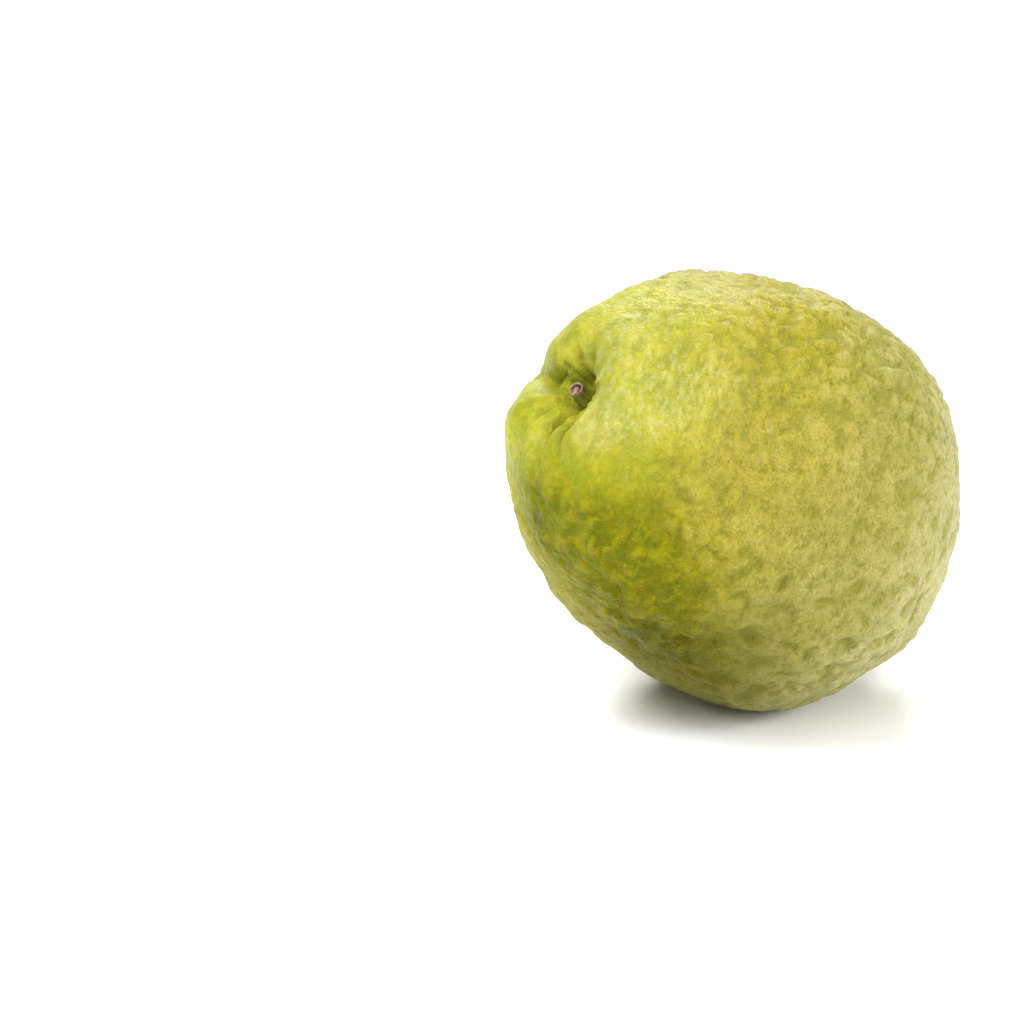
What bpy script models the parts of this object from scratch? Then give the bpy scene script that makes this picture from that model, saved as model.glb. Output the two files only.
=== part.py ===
"""A guava lying on its side, as picked: berry, stalk, five dried calyx lobes and the style's stump.

Frame: +Z is up and the ground is Z = 0. The origin lies on the flat spot that the fruit rests on,
straight below its centre of mass. The fruit's own axis lies in the XZ plane: the stalk end points
to -X and up, the blossom end to +X and down. Shapes are worked out in the fruit's own frame, in
millimetres, with the stalk end at +Z, and MM turns them into metres.
"""
import math

import bmesh
import bpy
import numpy as np
from mathutils import Matrix, Vector, noise

MM = 0.001

# How the fruit lies
AXIS_RISE = math.radians(38.0)      # the stalk end's rise above the ground
CENTRE = Vector((-2.6, 0.0, 42.75))  # the fruit's own centre, in millimetres from the origin

# Half outline of the berry, radius and height: stalk pit, shoulder, belly, blossom ring and basin
MERIDIAN = [
    (0.0, 39.8), (2.9, 39.9), (3.5, 41.4), (4.1, 43.2), (5.3, 45.0), (8.0, 46.5), (11.8, 46.8),
    (15.6, 45.6), (20.0, 43.1), (25.5, 38.7), (31.1, 32.0), (36.0, 23.4), (39.8, 12.9), (42.0, 1.3),
    (42.4, -9.9), (40.1, -20.8), (34.9, -30.0), (27.3, -37.6), (18.9, -43.1), (12.6, -46.5),
    (8.8, -47.9), (6.6, -47.3), (5.4, -45.7), (3.0, -44.9), (0.0, -44.7),
]
HALF_LENGTH = 48.0
BELLY_SHIFT = 3.6     # the belly hangs out towards the upper side
PIT_SHIFT = 1.2       # the stalk pit sits a little towards the upper side
PIT_SPREAD = 9.0
SEAT_RADIUS = 2.4     # pit floor under the stalk, kept smooth
SEAT_BLEND = 3.4

# Folds that run out of the stalk pit: direction in degrees, depth, width, reach
CREASES = [
    (92, 6.8, 1.1, 15.0),
    (85, 2.2, 1.5, 10.0),
    (150, 0.5, 0.7, 4.0),
    (193, 2.4, 0.9, 10.0),
    (217, 2.4, 0.9, 9.0),
    (351, 1.1, 0.9, 5.0),
    (26, 1.0, 0.7, 4.0),
    (62, 0.8, 0.7, 4.0),
]
CREASE_START = 5.0    # a fold is deepest this far from the axis
CREASE_NARROW = 0.5   # share of a fold's width that is left at the axis
CREASE_OPENING = 14.0  # distance from the axis over which a fold gains its width once more
CREASE_ROUNDING = 0.4

# Puffs and hollows of the shoulder: direction in degrees, rise, half width in degrees,
# distance from the axis, spread
PUFFS = [
    (258, -3.6, 38, 7.2, 5.0),
    (252, 1.6, 26, 13.5, 5.0),
    (94, -2.3, 45, 16.0, 10.5),
    (132, 2.4, 28, 14.0, 8.5),
    (70, 0.9, 16, 18.0, 7.0),
]

# Broad swellings of the belly: degrees from the stalk, direction in degrees, rise, spread in degrees
SWELLINGS = [
    (108, 344, 0.9, 14),
    (138, 228, -0.9, 12),
    (123, 209, 0.6, 10),
    (107, 197, -0.7, 10),
    (39, 43, -0.8, 16),
    (80, 8, 0.6, 10),
    (153, 257, 0.7, 10),
    (84, 176, 0.6, 9),
]
WAVE_LENGTH = 30.0    # the slow unevenness of the whole berry
WAVE_HEIGHT = 1.6
WAVE_SHIFT = Vector((3.1, 7.7, 1.3))
WAVE_FADE = 12.0      # the unevenness fades out this near to the axis
RIPPLE_RATE = 2.3     # a second, quicker unevenness of half the height
RIPPLE_SHARE = 0.5

MERIDIAN_STEPS = 40
SHARP_ANGLE = math.radians(50.0)
SEGMENTS = 72
RINGS = 48
RING_CROWDING = 0.7   # rings stand closer together at both ends

# Stalk
STALK_PATH = [(1.1, -0.2, 40.4), (1.15, -0.25, 41.8), (1.35, -0.5, 43.2), (1.6, -0.9, 44.4)]
STALK_RADII = [2.15, 1.85, 1.65, 1.65]
STALK_SIDES = 16
STEM_STRETCHES = 3    # stretches of a stem between two points of its path

# Blossom end: five dried calyx lobes around the basin, and what is left of the style
LOBE_COUNT = 5
LOBE_START = 20.0                      # direction of the first lobe, in degrees
LOBE_TURN = [0, 6, -5, 4, -4]          # each lobe's own turn, in degrees
LOBE_LENGTH = [1.1, 0.95, 1.2, 1.05, 0.9]
LOBE_SPREAD = [0.35, 1.0, 0.75, 0.0, 0.1]  # 0 folds in over the basin, 1 stands out from it
LOBE_LIFT = [0.6, 0.0, 0.4, 0.2, 0.5]
LOBE_PATH = [(7.6, -48.25), (7.7, -49.2), (6.9, -50.0), (5.5, -50.4), (4.0, -50.3)]
LOBE_HALF_WIDTHS = [2.6, 2.6, 2.1, 1.3, 0.45]
LOBE_ACROSS = 6
LOBE_STRETCHES = 2    # stretches of a lobe between two points of its path
LOBE_CUPPING = 0.5
LOBE_THICKNESS = 0.7
STYLE_PATH = [(0.0, 0.0, -45.1), (0.2, 0.1, -46.8), (0.7, 0.3, -48.6)]
STYLE_RADII = [0.6, 0.45, 0.4]
STYLE_SIDES = 8


def wrap(angle):
    """The same angle between -pi and pi."""
    return (angle + math.pi) % (2.0 * math.pi) - math.pi


def bell(distance, spread):
    return math.exp(-(distance / spread) ** 2)


def smooth_curve(points, steps):
    """Catmull-Rom curve through points, with `steps` stretches between each two."""
    points = [np.array(p, dtype=float) for p in points]
    ends = [2 * points[0] - points[1]] + points + [2 * points[-1] - points[-2]]
    curve = []
    for a, b, c, d in zip(ends, ends[1:], ends[2:], ends[3:]):
        for f in np.linspace(0.0, 1.0, steps, endpoint=False):
            curve.append(0.5 * (2 * b + (c - a) * f + (2 * a - 5 * b + 4 * c - d) * f ** 2
                                + (3 * b - a - 3 * c + d) * f ** 3))
    curve.append(points[-1])
    return np.array(curve)


def meridian_rings(rings, crowding):
    """(radius, height, outward normal) of each ring from the stalk pit to the blossom basin."""
    curve = smooth_curve(MERIDIAN, MERIDIAN_STEPS)
    run = np.concatenate(([0.0], np.cumsum(np.hypot(*np.diff(curve, axis=0).T))))
    slope = np.gradient(curve, run, axis=0)
    t = np.linspace(0.0, 1.0, rings + 1)
    at = run[-1] * (t - crowding * np.sin(2.0 * math.pi * t) / (2.0 * math.pi))
    radius, height, slope_r, slope_z = (np.interp(at, run, column)
                                        for column in (*curve.T, *slope.T))
    return list(zip(radius, height, -slope_z, slope_r))


def shoulder_relief(theta, radius):
    """Rise of the folds and puffs around the stalk pit."""
    rise = 0.0
    seat = min(1.0, max(0.0, (radius - SEAT_RADIUS) / SEAT_BLEND))
    for direction, depth, width, reach in CREASES:
        away = abs(wrap(theta - math.radians(direction))) * radius
        spread = width * (CREASE_NARROW + radius / CREASE_OPENING)
        groove = math.exp(-(math.hypot(away, CREASE_ROUNDING) - CREASE_ROUNDING) / spread)
        rise -= depth * groove * seat * bell(max(0.0, radius - CREASE_START), reach)
    for direction, height, half_width, out, spread in PUFFS:
        turn = math.degrees(wrap(theta - math.radians(direction)))
        rise += height * bell(turn, half_width) * bell(radius - out, spread) * seat
    return rise


def swelling(theta, radius, height):
    """Rise of the broad swellings, by the angle to each one's middle."""
    here = Vector((radius * math.cos(theta), radius * math.sin(theta), height)).normalized()
    rise = 0.0
    for polar, direction, amount, spread in SWELLINGS:
        polar, direction = math.radians(polar), math.radians(direction)
        middle = Vector((math.sin(polar) * math.cos(direction),
                         math.sin(polar) * math.sin(direction), math.cos(polar)))
        rise += amount * bell(math.degrees(here.angle(middle, 0.0)), spread)
    return rise


def berry_point(theta, ring):
    """Point of the berry's surface in its own frame, in millimetres."""
    radius, height, normal_r, normal_z = ring
    rise = swelling(theta, radius, height)
    if height > 0.0:
        rise += shoulder_relief(theta, radius)
    outward = Vector((normal_r * math.cos(theta), normal_r * math.sin(theta), normal_z))
    point = Vector((radius * math.cos(theta), radius * math.sin(theta), height)) + outward * rise
    point.x += BELLY_SHIFT * max(0.0, 1.0 - (point.z / HALF_LENGTH) ** 2)
    if height > 0.0:
        point.x += PIT_SHIFT * bell(radius, PIT_SPREAD)
    where = point / WAVE_LENGTH + WAVE_SHIFT
    fade = min(1.0, math.hypot(point.x, point.y) / WAVE_FADE)
    wave = noise.noise(where, noise_basis="PERLIN_ORIGINAL")
    ripple = noise.noise(where * RIPPLE_RATE, noise_basis="PERLIN_ORIGINAL")
    return point + outward * WAVE_HEIGHT * fade * (wave + RIPPLE_SHARE * ripple)


def material(name, colour, roughness):
    made = bpy.data.materials.new(name)
    made.use_nodes = True
    shader = made.node_tree.nodes["Principled BSDF"]
    shader.inputs["Base Color"].default_value = (*colour, 1.0)
    shader.inputs["Roughness"].default_value = roughness
    shader.inputs["Metallic"].default_value = 0.0
    return made


def add_object(name, mesh, finish, parent=None):
    made = bpy.data.objects.new(name, mesh)
    mesh.materials.append(finish)
    mesh.shade_smooth()
    mesh.set_sharp_from_angle(angle=SHARP_ANGLE)
    parts.objects.link(made)
    made.parent = parent
    return made


def make_berry(finish):
    """UV sphere laid onto the berry's surface, turned to how it lies and cut flat at the ground."""
    bm = bmesh.new()
    bmesh.ops.create_uvsphere(bm, u_segments=SEGMENTS, v_segments=RINGS, radius=1.0)
    rings = meridian_rings(RINGS, RING_CROWDING)
    for vert in bm.verts:
        theta = math.atan2(vert.co.y, vert.co.x)
        ring = round(math.acos(max(-1.0, min(1.0, vert.co.z))) / math.pi * RINGS)
        vert.co = (CENTRE + LYING @ berry_point(theta, rings[ring])) * MM
    cut = bmesh.ops.bisect_plane(bm, geom=bm.verts[:] + bm.edges[:] + bm.faces[:], dist=1e-6,
                                 plane_co=(0, 0, 0), plane_no=(0, 0, -1), clear_outer=True)
    rim = [item for item in cut["geom_cut"] if isinstance(item, bmesh.types.BMEdge)]
    for vert in {vert for edge in rim for vert in edge.verts}:
        vert.co.z = 0.0
    bmesh.ops.contextual_create(bm, geom=rim)
    bmesh.ops.recalc_face_normals(bm, faces=bm.faces)
    mesh = bpy.data.meshes.new("fruit_body")
    bm.to_mesh(mesh)
    bm.free()
    return add_object("fruit_body", mesh, finish)


def make_stem(name, path, radii, sides, finish, parent):
    """Short round stem along a smooth path, closed at both ends."""
    route = smooth_curve([(*point, radius) for point, radius in zip(path, radii)],
                         STEM_STRETCHES)
    curve = bpy.data.curves.new(name, "CURVE")
    curve.dimensions = "3D"
    curve.bevel_depth = MM
    curve.bevel_resolution = (sides - 4) // 2
    curve.use_fill_caps = True
    spline = curve.splines.new("POLY")
    spline.points.add(len(route) - 1)
    for point, (x, y, z, radius) in zip(spline.points, route):
        point.co = (x * MM, y * MM, z * MM, 1.0)
        point.radius = radius
    guide = bpy.data.objects.new(name + "_curve", curve)
    bpy.context.scene.collection.objects.link(guide)
    evaluated = guide.evaluated_get(bpy.context.evaluated_depsgraph_get())
    mesh = bpy.data.meshes.new_from_object(evaluated)
    bpy.data.objects.remove(guide)
    bm = bmesh.new()
    bm.from_mesh(mesh)
    bmesh.ops.remove_doubles(bm, verts=bm.verts, dist=1e-6)
    bmesh.ops.recalc_face_normals(bm, faces=bm.faces)
    bm.to_mesh(mesh)
    bm.free()
    return add_object(name, mesh, finish, parent)


def make_calyx_lobe(index, brim, finish, parent):
    """One dried calyx lobe: a cupped leaf on the brim of the blossom basin."""
    path = smooth_curve([(*point, width) for point, width in zip(LOBE_PATH, LOBE_HALF_WIDTHS)],
                        LOBE_STRETCHES)
    along = len(path) - 1
    bm = bmesh.new()
    bmesh.ops.create_grid(bm, x_segments=LOBE_ACROSS, y_segments=along, size=1.0)
    direction = math.radians(LOBE_START + LOBE_TURN[index] + 360.0 * index / LOBE_COUNT)
    outward = Vector((math.cos(direction), math.sin(direction), 0.0))
    sideways = Vector((-math.sin(direction), math.cos(direction), 0.0))
    settle = berry_point(direction, brim).z - brim[1]
    base = path[0]
    for vert in bm.verts:
        side = vert.co.x
        step = round((vert.co.y + 1.0) / 2.0 * along)
        out, height, half_width = path[step]
        out = base[0] + (out - base[0]) * LOBE_LENGTH[index] * (1.0 - 2.0 * LOBE_SPREAD[index])
        height = base[1] + (height - base[1]) * LOBE_LENGTH[index]
        height -= LOBE_LIFT[index] * (step / along) ** 2 + LOBE_CUPPING * side ** 2 * step / along
        point = outward * out + sideways * half_width * side + Vector((0.0, 0.0, height + settle))
        vert.co = point * MM
    name = f"calyx_lobe_{index + 1}"
    mesh = bpy.data.meshes.new(name)
    bm.to_mesh(mesh)
    bm.free()
    lobe = add_object(name, mesh, finish, parent)
    shell = lobe.modifiers.new("thickness", "SOLIDIFY")
    shell.thickness = LOBE_THICKNESS * MM
    shell.offset = 0.0
    return lobe


def lying_turn():
    """Turn from the fruit's own frame to how it lies: its stalk end to -X and up."""
    stalk_way = Vector((-math.cos(AXIS_RISE), 0.0, math.sin(AXIS_RISE)))
    upper_side = Vector((math.sin(AXIS_RISE), 0.0, math.cos(AXIS_RISE)))
    return Matrix((upper_side, Vector((0.0, 1.0, 0.0)), stalk_way)).transposed()


for old in list(bpy.data.objects):
    bpy.data.objects.remove(old)
parts = bpy.data.collections.new("guava")
bpy.context.scene.collection.children.link(parts)

LYING = lying_turn()
fruit_axis = bpy.data.objects.new("fruit_axis", None)
fruit_axis.matrix_world = Matrix.LocRotScale(CENTRE * MM, LYING.to_quaternion(), None)
parts.objects.link(fruit_axis)

skin = material("guava_skin", (0.42, 0.43, 0.07), 0.45)
green_wood = material("stalk_wood", (0.16, 0.12, 0.04), 0.8)
dried_leaf = material("dried_calyx", (0.14, 0.08, 0.035), 0.85)

make_berry(skin)
make_stem("stalk", STALK_PATH, STALK_RADII, STALK_SIDES, green_wood, fruit_axis)
blossom_brim = min(meridian_rings(RINGS, RING_CROWDING), key=lambda ring: ring[1])
for lobe_index in range(LOBE_COUNT):
    make_calyx_lobe(lobe_index, blossom_brim, dried_leaf, fruit_axis)
make_stem("style_remnant", STYLE_PATH, STYLE_RADII, STYLE_SIDES, dried_leaf, fruit_axis)
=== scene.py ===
"""Looks of the guava: fine lumpy skin, cut stalk, dried calyx, and a plain studio around them.

The skin repeats the berry's surface formula from the CAD source in the fruit's own frame, in
millimetres, and adds the relief and colour that are too fine for the CAD solid. The stalk, the
calyx lobes and the style follow the CAD source's paths, and their roots are sunk in the skin.
"""

import math

import bmesh
import bpy
import numpy as np
from mathutils import Matrix, Vector, noise


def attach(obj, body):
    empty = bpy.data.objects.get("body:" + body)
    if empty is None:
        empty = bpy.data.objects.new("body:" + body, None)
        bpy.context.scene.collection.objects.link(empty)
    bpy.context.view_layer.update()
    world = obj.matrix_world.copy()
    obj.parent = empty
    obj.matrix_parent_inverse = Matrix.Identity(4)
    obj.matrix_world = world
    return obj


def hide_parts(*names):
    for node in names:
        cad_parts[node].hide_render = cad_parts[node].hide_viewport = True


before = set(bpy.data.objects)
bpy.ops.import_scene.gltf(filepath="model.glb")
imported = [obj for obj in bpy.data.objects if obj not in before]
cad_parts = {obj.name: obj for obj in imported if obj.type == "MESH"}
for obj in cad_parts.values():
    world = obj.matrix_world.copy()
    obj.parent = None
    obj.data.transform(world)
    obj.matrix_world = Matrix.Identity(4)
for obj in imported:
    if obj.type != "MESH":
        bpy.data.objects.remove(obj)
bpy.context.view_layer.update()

MM = 0.001
PERLIN = "PERLIN_ORIGINAL"
SHIFT_RATES = (1.0, 0.7, 1.3)
AXIS_UP = Vector((0.0, 0.0, 1.0))

# ---------------------------------------------------------------- the berry, as in the CAD source
AXIS_RISE = math.radians(38.0)
CENTRE = Vector((-2.6, 0.0, 42.75))
MERIDIAN = [
    (0.0, 39.8), (2.9, 39.9), (3.5, 41.4), (4.1, 43.2), (5.3, 45.0), (8.0, 46.5), (11.8, 46.8),
    (15.6, 45.6), (20.0, 43.1), (25.5, 38.7), (31.1, 32.0), (36.0, 23.4), (39.8, 12.9), (42.0, 1.3),
    (42.4, -9.9), (40.1, -20.8), (34.9, -30.0), (27.3, -37.6), (18.9, -43.1), (12.6, -46.5),
    (8.8, -47.9), (6.6, -47.3), (5.4, -45.7), (3.0, -44.9), (0.0, -44.7),
]
MERIDIAN_STEPS = 40
HALF_LENGTH = 48.0
BELLY_SHIFT = 3.6
PIT_SHIFT = 1.2
PIT_SPREAD = 9.0
SEAT_RADIUS = 2.4
SEAT_BLEND = 3.4
CREASES = [  # direction in degrees, depth, width, reach
    (92, 6.8, 1.1, 15.0),
    (85, 2.2, 1.5, 10.0),
    (150, 0.5, 0.7, 4.0),
    (193, 2.4, 0.9, 10.0),
    (217, 2.4, 0.9, 9.0),
    (351, 1.1, 0.9, 5.0),
    (26, 1.0, 0.7, 4.0),
    (62, 0.8, 0.7, 4.0),
]
CREASE_START = 5.0
CREASE_NARROW = 0.5
CREASE_OPENING = 14.0
CREASE_ROUNDING = 0.4
PUFFS = [  # direction in degrees, rise, half width in degrees, distance from the axis, spread
    (258, -3.6, 38, 7.2, 5.0),
    (252, 1.6, 26, 13.5, 5.0),
    (94, -2.3, 45, 16.0, 10.5),
    (132, 2.4, 28, 14.0, 8.5),
    (70, 0.9, 16, 18.0, 7.0),
]
SWELLINGS = [  # degrees from the stalk, direction in degrees, rise, spread in degrees
    (108, 344, 0.9, 14),
    (138, 228, -0.9, 12),
    (123, 209, 0.6, 10),
    (107, 197, -0.7, 10),
    (39, 43, -0.8, 16),
    (80, 8, 0.6, 10),
    (153, 257, 0.7, 10),
    (84, 176, 0.6, 9),
]
WAVE_LENGTH = 30.0
WAVE_HEIGHT = 1.6
WAVE_SHIFT = Vector((3.1, 7.7, 1.3))
WAVE_FADE = 12.0
RIPPLE_RATE = 2.3
RIPPLE_SHARE = 0.5


def wrap(angle):
    return (angle + math.pi) % (2.0 * math.pi) - math.pi


def bell(distance, spread):
    return math.exp(-(distance / spread) ** 2)


def clamp(value, low=0.0, high=1.0):
    return max(low, min(high, value))


def smooth_curve(points, steps):
    """Catmull-Rom curve through points, with `steps` stretches between each two."""
    points = [np.array(p, dtype=float) for p in points]
    ends = [2 * points[0] - points[1]] + points + [2 * points[-1] - points[-2]]
    curve = []
    for a, b, c, d in zip(ends, ends[1:], ends[2:], ends[3:]):
        for f in np.linspace(0.0, 1.0, steps, endpoint=False):
            curve.append(0.5 * (2 * b + (c - a) * f + (2 * a - 5 * b + 4 * c - d) * f ** 2
                                + (3 * b - a - 3 * c + d) * f ** 3))
    curve.append(points[-1])
    return np.array(curve)


def meridian_rings(rings, crowding):
    """(radius, height, outward normal, run along the skin) of each ring, pit to blossom basin."""
    curve = smooth_curve(MERIDIAN, MERIDIAN_STEPS)
    run = np.concatenate(([0.0], np.cumsum(np.hypot(*np.diff(curve, axis=0).T))))
    slope = np.gradient(curve, run, axis=0)
    t = np.linspace(0.0, 1.0, rings + 1)
    at = run[-1] * (t - crowding * np.sin(2.0 * math.pi * t) / (2.0 * math.pi))
    radius, height, slope_r, slope_z = (np.interp(at, run, column)
                                        for column in (*curve.T, *slope.T))
    return list(zip(radius, height, -slope_z, slope_r, at))


def unit(polar, direction):
    """Way from the fruit's middle, by degrees from the stalk and degrees round it."""
    polar, direction = math.radians(polar), math.radians(direction)
    return Vector((math.sin(polar) * math.cos(direction),
                   math.sin(polar) * math.sin(direction), math.cos(polar)))


def spots(table):
    """(middle, amount, spread) of rows of (degrees from the stalk, direction, amount, spread)."""
    return [(unit(polar, direction), amount, spread) for polar, direction, amount, spread in table]


def gathered(here, middles):
    """Sum of the spots' amounts at a direction from the fruit's middle."""
    return sum(amount * bell(math.degrees(here.angle(middle, 0.0)), spread)
               for middle, amount, spread in middles)


SWELLING_SPOTS = spots(SWELLINGS)


def fold_depth(theta, radius):
    """Depth of the folds that run out of the stalk pit."""
    depth_here = 0.0
    seat = clamp((radius - SEAT_RADIUS) / SEAT_BLEND)
    for direction, depth, width, reach in CREASES:
        away = abs(wrap(theta - math.radians(direction))) * radius
        spread = width * (CREASE_NARROW + radius / CREASE_OPENING)
        groove = math.exp(-(math.hypot(away, CREASE_ROUNDING) - CREASE_ROUNDING) / spread)
        depth_here += depth * groove * seat * bell(max(0.0, radius - CREASE_START), reach)
    return depth_here


def puff_rise(theta, radius):
    """Rise of the puffs between the folds."""
    rise = 0.0
    seat = clamp((radius - SEAT_RADIUS) / SEAT_BLEND)
    for direction, height, half_width, out, spread in PUFFS:
        turn = math.degrees(wrap(theta - math.radians(direction)))
        rise += height * bell(turn, half_width) * bell(radius - out, spread) * seat
    return rise


def berry_point(theta, ring):
    """(point, outward normal, fold depth) of the berry's broad surface, in its own frame."""
    radius, height, normal_r, normal_z, _ = ring
    point = Vector((radius * math.cos(theta), radius * math.sin(theta), height))
    rise = gathered(point.normalized(), SWELLING_SPOTS)
    fold = 0.0
    if height > 0.0:
        fold = fold_depth(theta, radius)
        rise += puff_rise(theta, radius) - fold
    outward = Vector((normal_r * math.cos(theta), normal_r * math.sin(theta), normal_z))
    point += outward * rise
    point.x += BELLY_SHIFT * max(0.0, 1.0 - (point.z / HALF_LENGTH) ** 2)
    if height > 0.0:
        point.x += PIT_SHIFT * bell(radius, PIT_SPREAD)
    where = point / WAVE_LENGTH + WAVE_SHIFT
    fade = min(1.0, math.hypot(point.x, point.y) / WAVE_FADE)
    wave = noise.noise(where, noise_basis=PERLIN)
    ripple = noise.noise(where * RIPPLE_RATE, noise_basis=PERLIN)
    return point + outward * WAVE_HEIGHT * fade * (wave + RIPPLE_SHARE * ripple), outward, fold


def lying_turn():
    """Turn from the fruit's own frame to how it lies: its stalk end to -X and up."""
    stalk_way = Vector((-math.cos(AXIS_RISE), 0.0, math.sin(AXIS_RISE)))
    upper_side = Vector((math.sin(AXIS_RISE), 0.0, math.cos(AXIS_RISE)))
    return Matrix((upper_side, Vector((0.0, 1.0, 0.0)), stalk_way)).transposed()


LYING = lying_turn()


# ---------------------------------------------------------------- mesh helpers
def placed(point):
    """A point of the fruit's own frame, in millimetres, in the shared frame."""
    return (CENTRE + LYING @ point) * MM


def shifted(point, length, shift):
    """Where a noise of this length is read; each shift gives another pattern."""
    return point / length + Vector([shift * rate for rate in SHIFT_RATES])


def perlin(point, length, shift):
    return noise.noise(shifted(point, length, shift), noise_basis=PERLIN)


def bridge(bm, upper, lower, closed=True):
    """Faces between two rows of vertices; a row of one vertex is a tip."""
    count = max(len(upper), len(lower))
    for step in range(count if closed else count - 1):
        after = (step + 1) % count
        corners = [upper[step % len(upper)], lower[step % len(lower)],
                   lower[after % len(lower)], upper[after % len(upper)]]
        bm.faces.new(list(dict.fromkeys(corners)))


def add_piece(name, bm, node, finish):
    """The mesh of bm as a piece on the root body that stands for one CAD node."""
    mesh = bpy.data.meshes.new(name)
    bm.to_mesh(mesh)
    bm.free()
    mesh.shade_smooth()
    mesh.materials.append(finish)
    piece = bpy.data.objects.new(name, mesh)
    bpy.context.scene.collection.objects.link(piece)
    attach(piece, "root")
    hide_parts(node)
    return piece


# ---------------------------------------------------------------- skin
SEGMENTS = 400
RINGS = 248
RING_CROWDING = 0.35
STRETCH = 1.3            # lumps are this much shorter along the fruit than round it
# Relief in millimetres. Each noise has a length, a height and a shift that picks its pattern.
DRIFT_LENGTH = 8.0       # sideways drift, so that the lumps don't lie in rows
DRIFT = 2.2
DRIFT_SHIFTS = (4.3, 37.1, 71.9)
PATCH_LENGTH = 22.0      # rougher and smoother patches
PATCH_SHARE = 0.35
PATCH_SHIFT = 2.0
ROUGHNESS = 0.52
ROUGHNESS_RANGE = (0.1, 1.6)
DIMPLING = 0.35
DIMPLING_RANGE = (0.0, 1.2)
SWELL_LENGTH = 7.0
SWELL_HEIGHT = 0.50
SWELL_SHIFT = 11.0
SWELL_SMOOTH_SHARE = 0.4     # share of the swells that smooth skin keeps
COBBLE_LENGTH = 4.6
COBBLE_HEIGHT = 0.70
COBBLE_SHIFT = 23.0
COBBLE_EDGE = 0.22
COBBLE_MIDDLE = 0.6
DIMPLE_LENGTH = 4.4
DIMPLE_DEPTH = 1.9
DIMPLE_SHIFT = 5.0
DIMPLE_START = 0.06
PEBBLE_LENGTH = 2.5
PEBBLE_HEIGHT = 0.30
PEBBLE_SHIFT = 7.0
PEBBLE_SMOOTH_SHARE = 0.35
PEBBLE_DRIFT = 0.6
STREAK_ROUND = 3.0
STREAK_ALONG = 0.75
STREAK_HEIGHT = 0.03
STREAK_REACH = 1.3
CALM_CAP = 9.0           # degrees from the stalk within which the skin has no lumps
CALM_FADE = 28.0
PUCKER_RATE = 5.0        # radial wrinkles on the walls of the stalk pit
PUCKER_HEIGHT = 0.60
PUCKER_SHIFT = 3.0
PUCKER_RADIUS = 5.5
PUCKER_SPREAD = 4.5
PINCHES = [  # direction in degrees, turn along the way, depth, half width, middle radius, reach
    (195, 0.6, 1.10, 0.60, 9.0, 5.5),
    (218, 0.3, 1.10, 0.60, 9.5, 5.5),
    (93, 0.0, 0.45, 0.40, 8.0, 5.0),
    (352, 0.6, 0.35, 0.50, 7.0, 3.5),
    (26, -0.8, 0.30, 0.45, 6.5, 3.0),
    (62, 0.6, 0.30, 0.45, 6.5, 3.0),
    (318, 0.8, 0.28, 0.50, 7.0, 3.0),
]
# Lumps and zones of the skin: degrees from the stalk, direction in degrees, amount, spread in degrees
LUMPS = spots([(19, 262, 0.7, 7), (20, 205, 0.4, 6), (21, 180, 0.35, 6), (11, 330, -0.4, 6),
               (24, 48, 0.6, 9)])
ROUGH_SPOTS = spots([(52, 234, 0.35, 24), (76, 332, 0.75, 26), (98, 318, 0.2, 22),
                     (60, 302, 0.45, 16), (60, 30, 0.4, 30), (90, 120, 0.6, 34)])
SMOOTH_SPOTS = spots([(22, 250, 0.3, 14), (40, 4, 0.4, 20), (112, 288, 0.2, 26)])
DIMPLED_SPOTS = spots([(94, 222, 1.1, 30), (120, 275, 0.5, 26), (60, 215, 0.4, 20),
                       (110, 90, 0.8, 34), (120, 0, 0.5, 30)])
WARM_SPOTS = spots([(66, 282, 1.0, 26), (88, 292, 0.6, 24), (70, 120, 0.7, 30)])
# Greener skin with painted shade: in these spots the skin is more saturated green, its own colour, and
# darker, which is painted shade
GREEN_AND_SHADE_SPOTS = spots([(48, 229, 1.0, 20), (70, 214, 0.9, 22), (29, 192, 0.9, 14), (80, 60, 0.6, 26)])
# Painted highlights: in these spots pale streaks are painted on as glints
GLINT_SPOTS = spots([(25, 290, 1.0, 12), (20, 258, 0.9, 5), (20, 348, 1.0, 12), (40, 300, 0.6, 14),
                     (15, 182, 0.6, 8), (44, 346, 0.6, 14)])
# Painted shade: in these spots the skin is made about half as bright, as if in shadow
PAINTED_SHADE_SPOTS = spots([(86, 208, 0.95, 30), (34, 192, 0.45, 11), (110, 60, 0.5, 30)])


def cobbles(place, length, shift):
    """0 in the valleys between irregular cobbles, towards 1 on their tops."""
    value = noise.noise(shifted(place, length, shift), noise_basis="VORONOI_F2F1")
    return 1.0 - math.exp(-0.5 * (value + 1.0) / COBBLE_EDGE)


def pit_relief(theta, radius):
    """Puckers and pinched lines that run out of the stalk pit."""
    rim = Vector((math.cos(theta), math.sin(theta), 0.0)) * PUCKER_RATE
    rise = PUCKER_HEIGHT * perlin(rim, 1.0, PUCKER_SHIFT) * bell(radius - PUCKER_RADIUS, PUCKER_SPREAD)
    for direction, turn, depth, half_width, middle, reach in PINCHES:
        line = math.radians(direction + turn * (radius - middle))
        away = abs(wrap(theta - line)) * radius
        rise -= depth * bell(away, half_width) * bell(radius - middle, reach)
    return rise


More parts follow.
